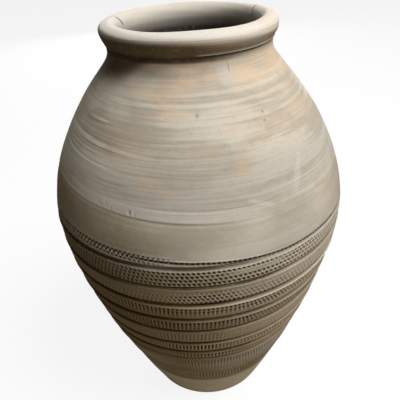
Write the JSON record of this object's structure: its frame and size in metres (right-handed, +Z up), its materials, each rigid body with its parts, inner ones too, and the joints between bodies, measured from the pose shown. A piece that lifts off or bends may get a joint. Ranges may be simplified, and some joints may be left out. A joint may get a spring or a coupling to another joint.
{
  "type": "pithos storage jar",
  "caption": "Tall handleless clay storage jar with a rolled rim, drawn-in neck, smooth shoulder, stamped bands on the lower body and a narrow flat foot.",
  "frame": {"origin": "centre of the base, on the ground", "axes": "+Z up along the jar's axis, -Y towards the pictured front, +X to the right of it"},
  "size_m": [0.685, 0.685, 1],
  "materials": {
    "fired_clay": "matt, unglazed"
  },
  "bodies": {
    "root": {"base_disc": "fired_clay", "corner_coil": "fired_clay", "foot_course": "fired_clay", "band_course_01": "fired_clay", "band_course_02": "fired_clay", "band_course_03": "fired_clay", "band_course_04": "fired_clay", "band_course_05": "fired_clay", "band_course_06": "fired_clay", "band_course_07": "fired_clay", "band_course_08": "fired_clay", "band_course_09": "fired_clay", "belly_course_lower": "fired_clay", "belly_course_upper": "fired_clay", "shoulder_course_01": "fired_clay", "shoulder_course_02": "fired_clay", "shoulder_course_03": "fired_clay", "shoulder_course_04": "fired_clay", "neck_collar": "fired_clay", "rim_roll_front": "fired_clay", "rim_roll_back": "fired_clay"}
  },
  "joints": []
}
